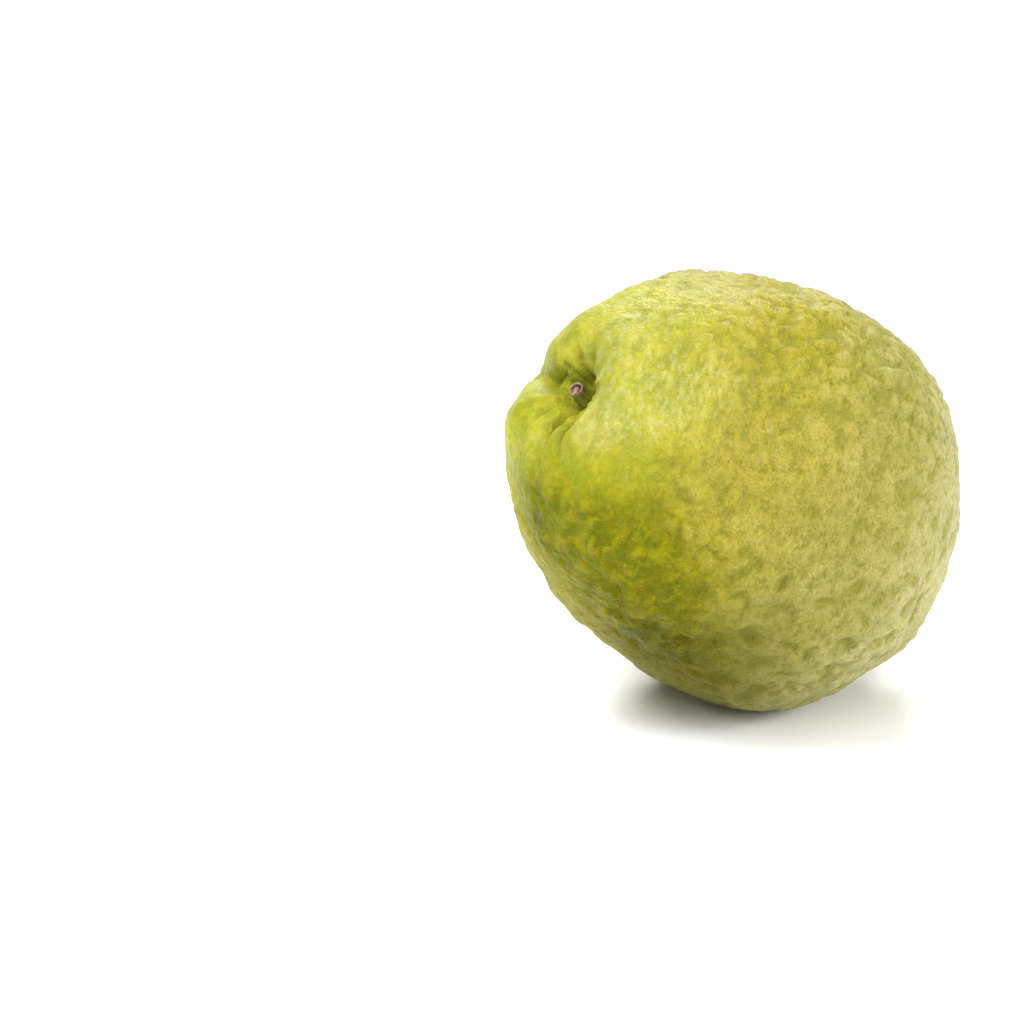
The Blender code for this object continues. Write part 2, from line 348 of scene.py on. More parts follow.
def skin_relief(place, here):
    """Height of the fine relief at a place on the skin; `here` is its way from the fruit's middle."""
    drift = Vector([perlin(place, DRIFT_LENGTH, shift) for shift in DRIFT_SHIFTS]) * DRIFT
    warped = place + drift
    lumpy = clamp((math.degrees(here.angle(AXIS_UP)) - CALM_CAP) / CALM_FADE)
    patch = PATCH_SHARE * perlin(place, PATCH_LENGTH, PATCH_SHIFT)
    rough = ROUGHNESS + patch + gathered(here, ROUGH_SPOTS) - gathered(here, SMOOTH_SPOTS)
    rough = clamp(rough, *ROUGHNESS_RANGE)
    dimpled = clamp(DIMPLING - patch + gathered(here, DIMPLED_SPOTS), *DIMPLING_RANGE)
    swell_share = SWELL_SMOOTH_SHARE + (1.0 - SWELL_SMOOTH_SHARE) * rough
    swell = perlin(warped, SWELL_LENGTH, SWELL_SHIFT) * swell_share
    cobble = (cobbles(warped, COBBLE_LENGTH, COBBLE_SHIFT) - COBBLE_MIDDLE) * rough * lumpy
    hollow = max(0.0, perlin(warped, DIMPLE_LENGTH, DIMPLE_SHIFT) - DIMPLE_START)
    dimple = hollow * dimpled * lumpy
    pebble_share = PEBBLE_SMOOTH_SHARE + (1.0 - PEBBLE_SMOOTH_SHARE) * rough
    pebble = perlin(place + drift * PEBBLE_DRIFT, PEBBLE_LENGTH, PEBBLE_SHIFT)
    pebble *= pebble_share * lumpy
    streak = noise.noise(Vector((place.x / STREAK_ROUND, place.y / STREAK_ROUND,
                                 place.z / STRETCH / STREAK_ALONG)), noise_basis=PERLIN)
    return (SWELL_HEIGHT * swell + COBBLE_HEIGHT * cobble - DIMPLE_DEPTH * dimple
            + PEBBLE_HEIGHT * pebble + STREAK_HEIGHT * streak * (STREAK_REACH - lumpy))


ZONES = {"warm": WARM_SPOTS, "green_and_shade": GREEN_AND_SHADE_SPOTS, "painted_shade": PAINTED_SHADE_SPOTS, "glint": GLINT_SPOTS}


def make_skin(finish):
    """The berry's surface with its fine relief, and the measures that its material is led by."""
    bm = bmesh.new()
    layers = {name: bm.verts.layers.float.new(name) for name in ("relief", "fold", "polar", *ZONES)}
    place_layer = bm.verts.layers.float_vector.new("place")
    rings = meridian_rings(RINGS, RING_CROWDING)
    rows = []
    for index, ring in enumerate(rings):
        row = []
        for step in range(SEGMENTS if 0 < index < RINGS else 1):
            theta = 2.0 * math.pi * step / SEGMENTS
            point, outward, fold = berry_point(theta, ring)
            place = Vector((point.x, point.y, point.z * STRETCH))
            here = point.normalized()
            height = skin_relief(place, here)
            if ring[1] > 0.0:
                height += pit_relief(theta, ring[0]) + gathered(here, LUMPS)
            vert = bm.verts.new(placed(point + outward * height))
            vert.co.z = max(vert.co.z, 0.0)     # the flat spot that the fruit rests on
            vert[layers["relief"]] = height
            vert[layers["fold"]] = fold
            vert[layers["polar"]] = ring[4] / rings[-1][4]
            for zone, middles in ZONES.items():
                vert[layers[zone]] = gathered(here, middles)
            vert[place_layer] = place
            row.append(vert)
        rows.append(row)
    for upper, lower in zip(rows, rows[1:]):
        bridge(bm, upper, lower)
    return add_piece("skin", bm, "fruit_body", finish)


# ---------------------------------------------------------------- stalk and style
STALK_PATH = [(1.1, -0.2, 39.3), (1.1, -0.2, 40.4), (1.15, -0.25, 41.8), (1.35, -0.5, 43.2),
              (1.6, -0.9, 44.4)]
STALK_RADII = [2.4, 2.15, 1.8, 1.55, 1.45]
STALK_CUT = [(0.96, 0.08), (0.88, 0.12), (0.78, 0.06), (0.70, -0.16), (0.63, -0.42), (0.55, -0.50),
             (0.46, -0.40), (0.38, -0.10), (0.28, -0.02), (0.18, -0.05), (0.08, -0.12)]
STALK_SHALLOW_SIDE = 200.0    # the gap inside the bark is shallowest on this side, in degrees
STALK_SIDES = 72
STALK_RIBS = 0.09
STYLE_PATH = [(0.0, 0.0, -44.3), (0.0, 0.0, -45.1), (0.2, 0.1, -46.8), (0.7, 0.3, -48.5)]
STYLE_RADII = [0.75, 0.55, 0.4, 0.42]
STYLE_CUT = [(0.85, 0.10), (0.6, 0.12), (0.3, 0.0)]
STYLE_SIDES = 24
STYLE_RIBS = 0.35
STEM_STRETCHES = 10
STEM_RIBS = [  # share of the ribs' height, rate around the stem, rate lengthwise, shift
    (1.0, 2.6, 1.5, 4.0),
    (0.5, 6.0, 3.0, 9.0),
]
CUT_EDGE = 0.9                # the cut is rough inside this share of the stem's radius
CUT_ROUGHNESS = 0.12
CUT_GRAIN = 3.0
CUT_SHIFT = 2.0
GAP_LEAST = 0.25
FIBRE_STRETCH = 0.3


def stem_mesh(path, radii, sides, ribs, cut, shallow_side=0.0):
    """Tube along a path with lengthwise ribs; `cut` is the end face, from its edge inwards.

    Where the cut dips, its gap is shallowest on the shallow side and deepest opposite.
    """
    bm = bmesh.new()
    layers = {name: bm.verts.layers.float.new(name) for name in ("along", "share", "sink")}
    place_layer = bm.verts.layers.float_vector.new("place")
    route = smooth_curve([(*point, radius) for point, radius in zip(path, radii)], STEM_STRETCHES)
    ways = np.gradient(route[:, :3], axis=0)
    stations = [(Vector(row[:3]), Vector(way).normalized(), row[3], 1.0, index / (len(route) - 1))
                for index, (row, way) in enumerate(zip(route, ways))]
    tip, way, radius = stations[-1][:3]
    stations += [(tip + way * rise, way, radius, share, 1.0) for share, rise in cut]
    rows = []
    for middle, way, radius, share, along in stations:
        side = way.cross(Vector((1.0, 0.0, 0.0))).normalized()
        front = side.cross(way)
        row = []
        for step in range(sides):
            angle = 2.0 * math.pi * step / sides
            spoke = front * math.cos(angle) + side * math.sin(angle)
            rib = sum(ribs * part * perlin(spoke * around + AXIS_UP * along * lengthwise, 1.0, shift)
                      for part, around, lengthwise, shift in STEM_RIBS)
            lean = 0.5 - 0.5 * math.cos(angle - math.radians(shallow_side))
            sink = 0.0
            lift = 0.0
            if share < 1.0 and (middle - tip).dot(way) < 0.0:
                sink = (middle - tip).dot(way) * (GAP_LEAST + lean)
                lift = (tip - middle).dot(way)
            if share < CUT_EDGE:
                lift += CUT_ROUGHNESS * radius * perlin(spoke * share * CUT_GRAIN, 1.0, CUT_SHIFT)
            point = middle + spoke * radius * share * (1.0 + rib) + way * (lift + sink)
            vert = bm.verts.new(placed(point))
            vert[layers["along"]] = along
            vert[layers["share"]] = share
            vert[layers["sink"]] = -sink
            vert[place_layer] = Vector((spoke.x * radius * share, spoke.y * radius * share,
                                        middle.z * FIBRE_STRETCH + spoke.z * radius * share))
            row.append(vert)
        rows.append(row)
    for lower, upper in zip(rows, rows[1:]):
        bridge(bm, upper, lower)
    bm.faces.new(rows[-1])
    bm.faces.new(reversed(rows[0]))
    bmesh.ops.recalc_face_normals(bm, faces=bm.faces)
    return bm


def make_stalk(finish):
    bm = stem_mesh(STALK_PATH, STALK_RADII, STALK_SIDES, STALK_RIBS, STALK_CUT, STALK_SHALLOW_SIDE)
    return add_piece("cut_stalk", bm, "stalk", finish)


def make_style(finish):
    bm = stem_mesh(STYLE_PATH, STYLE_RADII, STYLE_SIDES, STYLE_RIBS, STYLE_CUT)
    return add_piece("style_stump", bm, "style_remnant", finish)


# ---------------------------------------------------------------- calyx
LOBE_COUNT = 5
LOBE_START = 20.0
LOBE_TURN = [0, 6, -5, 4, -4]
LOBE_LENGTH = [1.1, 0.95, 1.2, 1.05, 0.9]
LOBE_SPREAD = [0.35, 1.0, 0.75, 0.0, 0.1]     # 0 folds in over the basin, 1 stands out
LOBE_LIFT = [0.6, 0.0, 0.4, 0.2, 0.5]         # how far the tip rises off the basin
LOBE_ROOT = (7.2, -46.6)
LOBE_PATH = [(7.6, -48.25), (7.7, -49.2), (6.9, -50.0), (5.5, -50.4), (4.0, -50.3)]
LOBE_HALF_WIDTHS = [3.0, 2.6, 2.6, 2.1, 1.3, 0.35]
LOBE_CUPPING = 0.5
LOBE_THICKNESS = 0.5
LOBE_ACROSS = 26
LOBE_STRETCHES = 8
LOBE_RUFFLE = 0.5
LOBE_VEINS = 5
LOBE_VEIN_HEIGHT = 0.12
LOBE_VEIN_SPREAD = 0.35       # the veins draw together by this share towards the tip
LOBE_VEIN_SHARPNESS = 3
LOBE_MIDDLE_RUFFLE = 0.25     # share of the ruffle that the lobe's middle has
LOBE_RUFFLE_RATES = (1.4, 2.2, 5.3)
LOBE_RUFFLE_SHIFT = 6.0
LOBE_RUFFLE_OUT = 0.6
LOBE_RAGGED = 0.16
LOBE_RAGGED_RATES = (9.0, 2.0, 3.1)
LOBE_RAGGED_SHIFT = 2.0
LOBE_COLOUR_LENGTH = 5.0
LOBE_COLOUR_GAP = 20.0        # keeps the lobes' colours unlike one another


def at_rates(rates, *values):
    """Where a noise is read that changes at its own rate with each value."""
    return Vector([rate * value for rate, value in zip(rates, values)])


def make_lobe(index, brim, finish):
    """One dried calyx lobe, rooted in the brim, with veins, ruffles and a ragged edge."""
    bm = bmesh.new()
    layers = {name: bm.verts.layers.float.new(name) for name in ("along", "vein")}
    place_layer = bm.verts.layers.float_vector.new("place")
    path = smooth_curve([(*point, width) for point, width
                         in zip([LOBE_ROOT] + LOBE_PATH, LOBE_HALF_WIDTHS)], LOBE_STRETCHES)
    direction = math.radians(LOBE_START + LOBE_TURN[index] + 360.0 * index / LOBE_COUNT)
    outward = Vector((math.cos(direction), math.sin(direction), 0.0))
    sideways = Vector((-math.sin(direction), math.cos(direction), 0.0))
    settle = berry_point(direction, brim)[0].z - brim[1]
    base_out, base_height = LOBE_PATH[0]
    rows = []
    for step, (out, height, half_width) in enumerate(path):
        along = (step - LOBE_STRETCHES) / (len(path) - 1 - LOBE_STRETCHES)
        free = max(0.0, along)
        out = base_out + (out - base_out) * LOBE_LENGTH[index] * (1.0 - 2.0 * LOBE_SPREAD[index])
        height = base_height + (height - base_height) * LOBE_LENGTH[index]
        row = []
        for place in np.linspace(-1.0, 1.0, LOBE_ACROSS + 1):
            where = at_rates(LOBE_RUFFLE_RATES, place, along, index)
            ruffle = LOBE_RUFFLE * perlin(where, 1.0, LOBE_RUFFLE_SHIFT)
            ruffle *= (LOBE_MIDDLE_RUFFLE + place * place) * free
            fan = place * (1.0 - LOBE_VEIN_SPREAD * free)
            vein = (1.0 - abs(math.sin(0.5 * math.pi * LOBE_VEINS * fan))) ** LOBE_VEIN_SHARPNESS
            where = at_rates(LOBE_RAGGED_RATES, along, place, index)
            ragged = 1.0 + LOBE_RAGGED * perlin(where, 1.0, LOBE_RAGGED_SHIFT)
            drop = LOBE_LIFT[index] * free ** 2 + LOBE_CUPPING * place ** 2 * free
            point = (outward * (out + ruffle * LOBE_RUFFLE_OUT) + sideways * half_width * place * ragged
                     + AXIS_UP * (height + settle - drop + ruffle - LOBE_VEIN_HEIGHT * vein))
            vert = bm.verts.new(placed(point))
            vert[layers["along"]] = along
            vert[layers["vein"]] = vein
            vert[place_layer] = Vector((place * half_width, along * LOBE_COLOUR_LENGTH,
                                        index * LOBE_COLOUR_GAP))
            row.append(vert)
        rows.append(row)
    for lower, upper in zip(rows, rows[1:]):
        bridge(bm, upper, lower, closed=False)
    lobe = add_piece(f"dried_lobe_{index + 1}", bm, f"calyx_lobe_{index + 1}", finish)
    shell = lobe.modifiers.new("thickness", "SOLIDIFY")
    shell.thickness = LOBE_THICKNESS * MM
    shell.offset = 0.0
    return lobe


# ---------------------------------------------------------------- node helpers
class Nodes:
    """Short way to write a material's node tree."""

    def __init__(self, name):
        self.material = bpy.data.materials.new(name)
        self.material.use_nodes = True
        self.tree = self.material.node_tree
        self.shader = self.tree.nodes["Principled BSDF"]

    def add(self, kind, **values):
        """New node of this kind with its settings."""
        node = self.tree.nodes.new(kind)
        for key, value in values.items():
            setattr(node, key, value)
        return node

    def feed(self, socket, value):
        """Links a socket's value, or sets a constant directly."""
        if isinstance(value, bpy.types.NodeSocket):
            self.tree.links.new(value, socket)
        else:
            socket.default_value = value

    def number(self, name):
        return self.add("ShaderNodeAttribute", attribute_name=name).outputs["Fac"]

    def vector(self, name):
        return self.add("ShaderNodeAttribute", attribute_name=name).outputs["Vector"]

    def stretched(self, vector, x, y, z):
        node = self.add("ShaderNodeVectorMath", operation="MULTIPLY")
        self.feed(node.inputs[0], vector)
        self.feed(node.inputs[1], (x, y, z))
        return node.outputs[0]

    def noise(self, vector, length, detail=2.0, roughness=0.5, distortion=0.0):
        node = self.add("ShaderNodeTexNoise")
        self.feed(node.inputs["Vector"], vector)
        self.feed(node.inputs["Scale"], 1.0 / length)
        self.feed(node.inputs["Detail"], detail)
        self.feed(node.inputs["Roughness"], roughness)
        self.feed(node.inputs["Distortion"], distortion)
        return node.outputs["Fac"]

    def cells(self, vector, length):
        node = self.add("ShaderNodeTexVoronoi")
        self.feed(node.inputs["Vector"], vector)
        self.feed(node.inputs["Scale"], 1.0 / length)
        return node.outputs["Distance"]

    def span(self, value, low, high, to_low=0.0, to_high=1.0):
        """value's range low..high turned into to_low..to_high, smoothly and clamped."""
        node = self.add("ShaderNodeMapRange", interpolation_type="SMOOTHSTEP")
        self.feed(node.inputs["Value"], value)
        for key, number in (("From Min", low), ("From Max", high),
                            ("To Min", to_low), ("To Max", to_high)):
            self.feed(node.inputs[key], number)
        return node.outputs["Result"]

    def times(self, a, b):
        node = self.add("ShaderNodeMath", operation="MULTIPLY")
        self.feed(node.inputs[0], a)
        self.feed(node.inputs[1], b)
        return node.outputs[0]

    def around_one(self, *terms):
        """1 plus the sum of amount * (value - 0.5) over (amount, value) terms."""
        result = 1.0 - 0.5 * sum(amount for amount, _ in terms)
        for amount, value in terms:
            node = self.add("ShaderNodeMath", operation="MULTIPLY_ADD")
            self.feed(node.inputs[0], value)
            self.feed(node.inputs[1], amount)
            self.feed(node.inputs[2], result)
            result = node.outputs[0]
        return result

    def mix(self, factor, a, b):
        node = self.add("ShaderNodeMix", data_type="RGBA")
        self.feed(node.inputs["Factor"], factor)
        for key, value in (("A", a), ("B", b)):
            self.feed([s for s in node.inputs if s.name == key and s.type == "RGBA"][0], value)
        return [s for s in node.outputs if s.type == "RGBA"][0]

    def scaled(self, colour, factor):
        node = self.add("ShaderNodeVectorMath", operation="SCALE")
        self.feed(node.inputs[0], colour)
        self.feed(node.inputs["Scale"], factor)
        return node.outputs[0]

    def bump(self, height, distance, normal=None):
        node = self.add("ShaderNodeBump")
        self.feed(node.inputs["Height"], height)
        self.feed(node.inputs["Distance"], distance)
        if normal is not None:
            self.feed(node.inputs["Normal"], normal)
        return node.outputs["Normal"]

    def layer(self, colour, value, limits, tint):
        """colour with tint over it, as strong as value's place within its limits says."""
        return self.mix(self.span(value, *limits), colour, tint)

    def finish(self, colour, roughness, normal, fixed=None):
        """The material, with its shader fed."""
        self.feed(self.shader.inputs["Base Color"], colour)
        self.feed(self.shader.inputs["Roughness"], roughness)
        self.feed(self.shader.inputs["Normal"], normal)
        for key, value in (fixed or {}).items():
            self.shader.inputs[key].default_value = value
        return self.material


def rgb(red, green, blue):
    return (red, green, blue, 1.0)


# ---------------------------------------------------------------- skin material
# Noises: length in millimetres, detail, roughness and distortion
BLOTCH_NOISE = (15.0, 3.0, 0.55, 0.4)
PATCH_NOISE = (6.0, 4.0, 0.6, 0.3)
CLUMP_NOISE = (4.4, 4.0, 0.70, 0.5)
MOTTLE_NOISE = (2.6, 4.0, 0.65)
FLECK_NOISE = (1.3, 3.0, 0.65)
GRAIN_NOISE = (0.62, 2.0, 0.75)
STREAK_NOISE = (1.2, 4.0, 0.65)
STREAK_SQUEEZE = (0.5, 0.5, 1.0)
SPECKLE_LENGTH = 0.75
# Ranges: a value's low and high end, then what they turn into where that isn't 0 and 1
WARM_ZONE = (0.15, 1.0)
GREEN_AND_SHADE_ZONE = (0.05, 1.0)
PAINTED_SHADE_ZONE = (0.0, 1.0)
GLINT_ZONE = (0.1, 1.0)
NECK_FADE = (0.14, 0.32, 1.0, 0.0)
CALM_NECK = (0.12, 0.38, 0.65, 1.0)
HOLLOW_DEPTH = (0.36, 0.54, 1.0, 0.0)
HOLLOWS_PAST_NECK = (0.12, 0.48, 0.15, 0.62)
HOLLOWS_TO_BLOSSOM = (0.54, 0.76, 1.0, 0.5)
NECK_PATCHES = (0.42, 0.58, 0.0, 0.55)
SPECKLE_SIZE = (0.14, 0.34, 1.0, 0.0)
SPECKLE_CROWDING = (0.42, 0.60, 0.1, 0.75)
WARM_FRECKLES = (0.0, 1.0, 0.35, 1.0)
STREAK_STRENGTH = (0.42, 0.64, 0.06, 0.34)
SKIN_ROUGHNESS = (0.3, 0.7, 0.52, 0.36)
# Plain colours
NECK = rgb(0.362, 0.345, 0.022)
# dark green of the greener zone; its darkness is partly painted shade
DARK_GREEN_AND_SHADE = rgb(0.086, 0.108, 0.001)
WARM_TAN = rgb(0.285, 0.240, 0.065)
WARM_SHARE = 0.25
# greener colour of the hollows, darker partly as painted shade
HOLLOW_GREEN_AND_SHADE = rgb(0.168, 0.156, 0.016)
NECK_PATCH = rgb(0.170, 0.212, 0.004)
GREEN_FRECKLE = rgb(0.13, 0.12, 0.015)
BROWN_FRECKLE = rgb(0.165, 0.095, 0.022)
# whitish colour of the painted glints
PAINTED_GLINT = rgb(0.50, 0.475, 0.23)
# Layers of colour: the range of the value that leads it, and the colour
SHOULDER = ((0.14, 0.32), rgb(0.272, 0.236, 0.020))
BELLY = ((0.36, 0.52), rgb(0.236, 0.215, 0.052))
BLOSSOM_END = ((0.54, 0.66), rgb(0.296, 0.276, 0.114))
DEEP_YELLOW = ((0.43, 0.66), rgb(0.248, 0.223, 0.002))
DEEP_PALE = ((0.50, 0.68, 0.0, 0.5), rgb(0.20, 0.190, 0.018))
GREEN_BLOTCH = ((0.40, 0.64, 0.0, 0.24), rgb(0.180, 0.175, 0.011))
PALE_PATCH = ((0.48, 0.66, 0.0, 0.24), rgb(0.32, 0.290, 0.080))
# painted shade in the relief's valleys and painted highlights on its crests
VALLEY_PAINTED_SHADE = ((-0.50, -0.05, 0.50, 0.0), rgb(0.160, 0.157, 0.016))
CREST_PAINTED_HIGHLIGHT = ((0.05, 0.45, 0.0, 0.28), rgb(0.335, 0.315, 0.105))
# greener in the folds and deep in the stalk pit, and darker there as painted shade
FOLD_GREEN_AND_SHADE = ((1.4, 5.0, 0.0, 0.18), rgb(0.165, 0.215, 0.005))
PIT_GREEN_AND_SHADE = ((0.012, 0.030, 0.5, 0.0), rgb(0.14, 0.155, 0.010))
BASIN_BROWN = ((0.955, 0.975), rgb(0.09, 0.055, 0.022))
# Shares of red, green and blue that the greener zone with painted shade and the painted shade zone
# keep, and brightness elsewhere
GREEN_AND_SHADE_TINT = (1.03, 1.0, 0.15)
PAINTED_SHADE_TINT = (0.49, 0.49, 0.12)
LIT_BRIGHTNESS = 1.05
NECK_BRIGHTNESS = 1.04
BELLY_BRIGHTNESS = 1.12
# How much each noise makes the belly's brightness vary
GRAIN_SPREAD = 0.85
FLECK_SPREAD = 0.28
MOTTLE_SPREAD = 0.20
# Heights of the bumps in metres
PATCH_BUMP = 0.00125
DEEP_BUMP_SPREAD = 1.2
MOTTLE_BUMP = 0.00062
FLECK_BUMP = 0.00036
STREAK_BUMP = 0.00016
GRAIN_BUMP = 0.00008
SKIN_SHADER = {
    "Subsurface Weight": 0.10,
    "Subsurface Scale": 0.0015,
    "Specular IOR Level": 0.06,
    "Sheen Weight": 0.012,
    "Sheen Roughness": 0.45,
}


def broad_colour(n, place, polar, green_and_shade, mottle):
    """Colours from the neck to the blossom end, with clumps of greener skin low on the neck whose
    darkness is partly painted shade.
    """
    colour = n.layer(NECK, polar, *SHOULDER)
    colour = n.layer(colour, polar, *BELLY)
    colour = n.layer(colour, polar, *BLOSSOM_END)
    lush = n.layer(DARK_GREEN_AND_SHADE, n.noise(place, *CLUMP_NOISE), *DEEP_YELLOW)
    lush = n.layer(lush, mottle, *DEEP_PALE)
    return n.mix(green_and_shade, colour, lush)


def mottled(n, colour, place, polar, warm, mottle, patch, fleck):
    """Blotches, greener hollows darkened partly as painted shade, painted shade in the valleys, painted
    highlights on the crests, and freckles, browner where it's warm.
    """
    relief = n.number("relief")
    colour = n.layer(colour, n.noise(place, *BLOTCH_NOISE), *GREEN_BLOTCH)
    colour = n.layer(colour, patch, *PALE_PATCH)
    colour = n.mix(n.times(warm, WARM_SHARE), colour, WARM_TAN)
    # greener and darker where the mottle's bumps are low: partly the skin's own colour, partly painted
    # shade
    hollow = n.times(n.span(mottle, *HOLLOW_DEPTH), n.span(polar, *HOLLOWS_PAST_NECK))
    hollow = n.times(hollow, n.span(polar, *HOLLOWS_TO_BLOSSOM))
    colour = n.mix(hollow, colour, HOLLOW_GREEN_AND_SHADE)
    # painted shade in the relief's valleys, painted highlights on its crests
    colour = n.layer(colour, relief, *VALLEY_PAINTED_SHADE)
    colour = n.layer(colour, relief, *CREST_PAINTED_HIGHLIGHT)
    speckle = n.times(n.span(n.cells(place, SPECKLE_LENGTH), *SPECKLE_SIZE),
                      n.span(fleck, *SPECKLE_CROWDING))
    freckle = n.mix(warm, GREEN_FRECKLE, BROWN_FRECKLE)
    colour = n.mix(n.times(speckle, n.span(warm, *WARM_FRECKLES)), colour, freckle)
    shade = n.times(n.span(patch, *NECK_PATCHES), n.span(polar, *NECK_FADE))
    return n.mix(shade, colour, NECK_PATCH)


def skin_material():
    """Green and yellow mottled skin with freckles, pores and a soft shine, with glints painted on near
    the stalk and shade painted on its lower side.
    """
    n = Nodes("guava_skin")
    place = n.vector("place")   # millimetres in the fruit's own frame, stretched along it
    polar = n.number("polar")   # way along the skin, 0 in the stalk pit and 1 in the blossom basin
    warm = n.span(n.number("warm"), *WARM_ZONE)
    green_and_shade = n.span(n.number("green_and_shade"), *GREEN_AND_SHADE_ZONE)
    painted_shade = n.span(n.number("painted_shade"), *PAINTED_SHADE_ZONE)
    glint = n.span(n.number("glint"), *GLINT_ZONE)
    patch = n.noise(place, *PATCH_NOISE)
    mottle = n.noise(place, *MOTTLE_NOISE)
    fleck = n.noise(place, *FLECK_NOISE)
    grain = n.noise(place, *GRAIN_NOISE)
    streak = n.noise(n.stretched(place, *STREAK_SQUEEZE), *STREAK_NOISE)

    colour = broad_colour(n, place, polar, green_and_shade, mottle)
    colour = mottled(n, colour, place, polar, warm, mottle, patch, fleck)
    # painted highlights: pale streaks mixed in where the glint spots are
    colour = n.mix(n.times(glint, n.span(streak, *STREAK_STRENGTH)), colour, PAINTED_GLINT)
    # greener, and darker as painted shade, in the folds and deep in the stalk pit
    colour = n.layer(colour, n.number("fold"), *FOLD_GREEN_AND_SHADE)
    colour = n.layer(colour, polar, *PIT_GREEN_AND_SHADE)
    colour = n.layer(colour, polar, *BASIN_BROWN)
    # greener zone with painted shade: less blue, so more saturated and darker
    colour = n.mix(green_and_shade, colour, n.stretched(colour, *GREEN_AND_SHADE_TINT))
    calm = n.span(polar, *CALM_NECK)
    uneven = n.around_one((GRAIN_SPREAD, grain), (FLECK_SPREAD, fleck), (MOTTLE_SPREAD, mottle))
    colour = n.mix(calm, n.scaled(colour, NECK_BRIGHTNESS),
                   n.scaled(colour, n.times(uneven, BELLY_BRIGHTNESS)))
    # painted shade: darker where the painted shade spots are, a little brighter elsewhere
    colour = n.mix(painted_shade, n.scaled(colour, LIT_BRIGHTNESS), n.stretched(colour, *PAINTED_SHADE_TINT))

    normal = n.bump(n.times(patch, n.around_one((DEEP_BUMP_SPREAD, green_and_shade))), PATCH_BUMP)
    normal = n.bump(n.times(mottle, calm), MOTTLE_BUMP, normal)
    normal = n.bump(n.times(fleck, calm), FLECK_BUMP, normal)
    normal = n.bump(n.times(streak, glint), STREAK_BUMP, normal)
    normal = n.bump(grain, GRAIN_BUMP, normal)
    return n.finish(colour, n.span(fleck, *SKIN_ROUGHNESS), normal, SKIN_SHADER)


# ---------------------------------------------------------------- stalk material
STALK_FIBRE_NOISE = (0.5, 4.0, 0.65)
STALK_FIBRE_SQUEEZE = (1.0, 1.0, 0.3)
STALK_SPOT_NOISE = (0.9, 3.0, 0.6)
BARK_GREEN = rgb(0.150, 0.165, 0.003)
BARK_YELLOW = ((0.40, 0.62), rgb(0.200, 0.200, 0.008))
BARK_DARK = ((0.35, 0.65, 0.5, 0.0), rgb(0.080, 0.075, 0.004))
BARK_BROWN = rgb(0.150, 0.100, 0.040)
BARK_TAN = ((0.35, 0.65), rgb(0.350, 0.270, 0.120))
CUT_BROWN = rgb(0.190, 0.120, 0.060)
CUT_TAN = ((0.36, 0.62), rgb(0.400, 0.290, 0.180))
CUT_DARK = ((0.40, 0.60, 0.5, 0.0), rgb(0.13, 0.07, 0.04))
# painted shade in the sunken gap inside the bark
CUT_GAP_PAINTED_SHADE = ((0.08, 0.30), rgb(0.065, 0.03, 0.02))
BROWN_NEAR_CUT = (0.80, 0.96)
CUT_RIM = (0.955, 0.985)
STALK_BUMP = 0.00012
STALK_ROUGHNESS = (0.3, 0.7, 0.85, 0.65)


def stalk_material():
    """Green bark that turns brown towards a tan, woody cut, with painted shade in the cut's sunken gap.
    """
    n = Nodes("stalk_wood")
    place = n.vector("place")
    fibre = n.noise(n.stretched(place, *STALK_FIBRE_SQUEEZE), *STALK_FIBRE_NOISE)
    spot = n.noise(place, *STALK_SPOT_NOISE)
    bark = n.layer(n.layer(BARK_GREEN, spot, *BARK_YELLOW), fibre, *BARK_DARK)
    brown = n.layer(BARK_BROWN, fibre, *BARK_TAN)
    side = n.mix(n.span(n.number("along"), *BROWN_NEAR_CUT), bark, brown)
    cut = n.layer(n.layer(CUT_BROWN, spot, *CUT_TAN), fibre, *CUT_DARK)
    # painted shade: darker where the cut sinks into its gap
    cut = n.layer(cut, n.number("sink"), *CUT_GAP_PAINTED_SHADE)
    colour = n.mix(n.span(n.number("share"), *CUT_RIM), cut, side)
    return n.finish(colour, n.span(spot, *STALK_ROUGHNESS), n.bump(fibre, STALK_BUMP))


# ---------------------------------------------------------------- calyx material
CALYX_FIBRE_NOISE = (0.3, 3.0, 0.65)
CALYX_FIBRE_SQUEEZE = (1.0, 0.25, 1.0)
CALYX_SPOT_NOISE = (1.1, 4.0, 0.65)
DEAD_BROWN = rgb(0.085, 0.045, 0.020)
DEAD_TAN = ((0.36, 0.64), rgb(0.24, 0.155, 0.075))
DEAD_FIBRE = ((0.55, 0.75, 0.0, 0.5), rgb(0.36, 0.27, 0.15))
DEAD_VEIN = ((0.35, 0.9, 0.0, 0.6), rgb(0.34, 0.24, 0.12))
DEAD_ROOT = ((-0.1, 0.35, 0.55, 0.0), rgb(0.20, 0.19, 0.04))
CALYX_FIBRE_BUMP = 0.00016
CALYX_SPOT_BUMP = 0.00025
CALYX_ROUGHNESS = 0.85


def dried_material():
    """Thin, dead sepal: brown, veined, paler and greyer in patches."""
    n = Nodes("dried_calyx")
    place = n.vector("place")
    spot = n.noise(place, *CALYX_SPOT_NOISE)
    fibre = n.noise(n.stretched(place, *CALYX_FIBRE_SQUEEZE), *CALYX_FIBRE_NOISE)
    colour = n.layer(DEAD_BROWN, spot, *DEAD_TAN)
    colour = n.layer(colour, fibre, *DEAD_FIBRE)
    colour = n.layer(colour, n.number("vein"), *DEAD_VEIN)
    colour = n.layer(colour, n.number("along"), *DEAD_ROOT)
    normal = n.bump(spot, CALYX_SPOT_BUMP, n.bump(fibre, CALYX_FIBRE_BUMP))
    return n.finish(colour, CALYX_ROUGHNESS, normal)


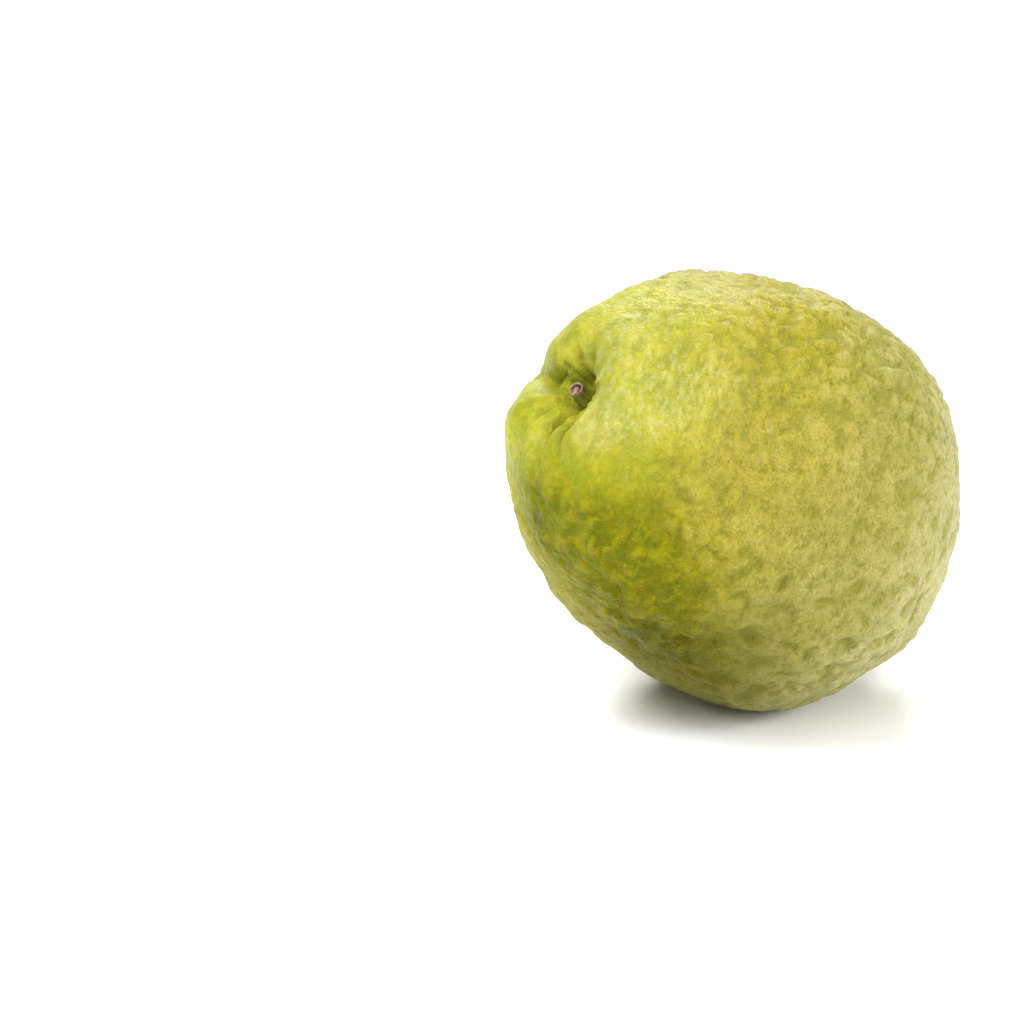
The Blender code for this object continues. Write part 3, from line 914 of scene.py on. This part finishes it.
# ---------------------------------------------------------------- studio
CAMERA_DISTANCE = 0.8
CAMERA_AZIMUTH = math.radians(-29.4)
CAMERA_ELEVATION = math.radians(20.0)
SENSOR = 36.0             # millimetres, as is the lens
LENS = 140.625
FRUIT_RIGHT = 0.05375     # slopes right and up from the view's middle to the fruit's centre
FRUIT_UP = 0.003875
FLOOR_COLOUR = (0.955, 0.960, 0.990)
FLOOR_OUTLINE = [(0.0, 0.0), (5.2, 0.0), (5.55, 0.04), (5.8, 0.15), (5.95, 0.36), (6.0, 0.7)]
FLOOR_SIDES = 96
FLOOR_ROUGHNESS = 0.9
WORLD_STRENGTH = 0.08
LAMPS = [  # name, towards the lamp: across, up and nearer, strength, angle in degrees
    ("back", (0.0, 0.50, -0.85), 3.2, 24.0),
    ("overhead", (-0.4, 0.85, 0.1), 2.7, 34.0),
    ("side", (0.9, 0.35, 0.20), 2.95, 26.0),
    ("front", (0.0, 0.8, 0.6), 1.7, 46.0),
]


def camera_axes():
    """Level directions across the picture and away from the camera."""
    across = Vector((math.cos(CAMERA_AZIMUTH), math.sin(CAMERA_AZIMUTH), 0.0))
    away = Vector((-math.sin(CAMERA_AZIMUTH), math.cos(CAMERA_AZIMUTH), 0.0))
    return across, away


def make_camera(away):
    """Camera at the photo's angle, aimed so that the fruit shows where it does in the photo."""
    back = Vector((0.0, 0.0, math.sin(CAMERA_ELEVATION))) - away * math.cos(CAMERA_ELEVATION)
    camera = bpy.data.cameras.new("camera")
    camera.sensor_width = SENSOR
    camera.lens = LENS
    seen = bpy.data.objects.new("camera", camera)
    bpy.context.scene.collection.objects.link(seen)
    seen.location = CENTRE * MM + back * CAMERA_DISTANCE
    aside = Vector((FRUIT_RIGHT, FRUIT_UP, -1.0)).normalized()
    turn = Vector((0.0, 0.0, -1.0)).rotation_difference(aside)
    seen.rotation_mode = "QUATERNION"
    seen.rotation_quaternion = back.to_track_quat("Z", "Y") @ turn.inverted()
    bpy.context.scene.camera = seen


def make_lamp(name, towards, strength, angle):
    """Distant lamp; the wider its angle, the softer its shadows."""
    light = bpy.data.lights.new(name, "SUN")
    light.energy = strength
    light.angle = math.radians(angle)
    lamp = bpy.data.objects.new(name, light)
    bpy.context.scene.collection.objects.link(lamp)
    lamp.rotation_euler = towards.to_track_quat("Z", "Y").to_euler()


def make_floor():
    """Wide round floor whose rim curves up, far behind the fruit on every side."""
    bm = bmesh.new()
    rows = []
    for radius, height in FLOOR_OUTLINE:
        turns = [2.0 * math.pi * step / FLOOR_SIDES for step in range(FLOOR_SIDES if radius else 1)]
        rows.append([bm.verts.new((radius * math.cos(turn), radius * math.sin(turn), height))
                     for turn in turns])
    for inner, outer in zip(rows, rows[1:]):
        bridge(bm, inner, outer)
    mesh = bpy.data.meshes.new("floor")
    bm.to_mesh(mesh)
    bm.free()
    mesh.shade_smooth()
    paint = bpy.data.materials.new("floor")
    paint.use_nodes = True
    shader = paint.node_tree.nodes["Principled BSDF"]
    shader.inputs["Base Color"].default_value = rgb(*FLOOR_COLOUR)
    shader.inputs["Roughness"].default_value = FLOOR_ROUGHNESS
    shader.inputs["Specular IOR Level"].default_value = 0.0
    mesh.materials.append(paint)
    floor = bpy.data.objects.new("floor", mesh)
    bpy.context.scene.collection.objects.link(floor)


def make_studio():
    """Camera, four soft lamps, white surroundings and the floor."""
    across, away = camera_axes()
    make_camera(away)
    for name, (right, up, nearer), strength, angle in LAMPS:
        make_lamp(name, across * right + AXIS_UP * up - away * nearer, strength, angle)
    world = bpy.data.worlds.new("studio")
    world.use_nodes = True
    background = world.node_tree.nodes["Background"]
    background.inputs["Color"].default_value = rgb(1.0, 1.0, 1.0)
    background.inputs["Strength"].default_value = WORLD_STRENGTH
    bpy.context.scene.world = world
    bpy.context.scene.view_settings.view_transform = "Standard"
    make_floor()


make_studio()
make_skin(skin_material())
make_stalk(stalk_material())
dried = dried_material()
blossom_brim = min(meridian_rings(RINGS, RING_CROWDING), key=lambda ring: ring[1])
for lobe_index in range(LOBE_COUNT):
    make_lobe(lobe_index, blossom_brim, dried)
make_style(dried)
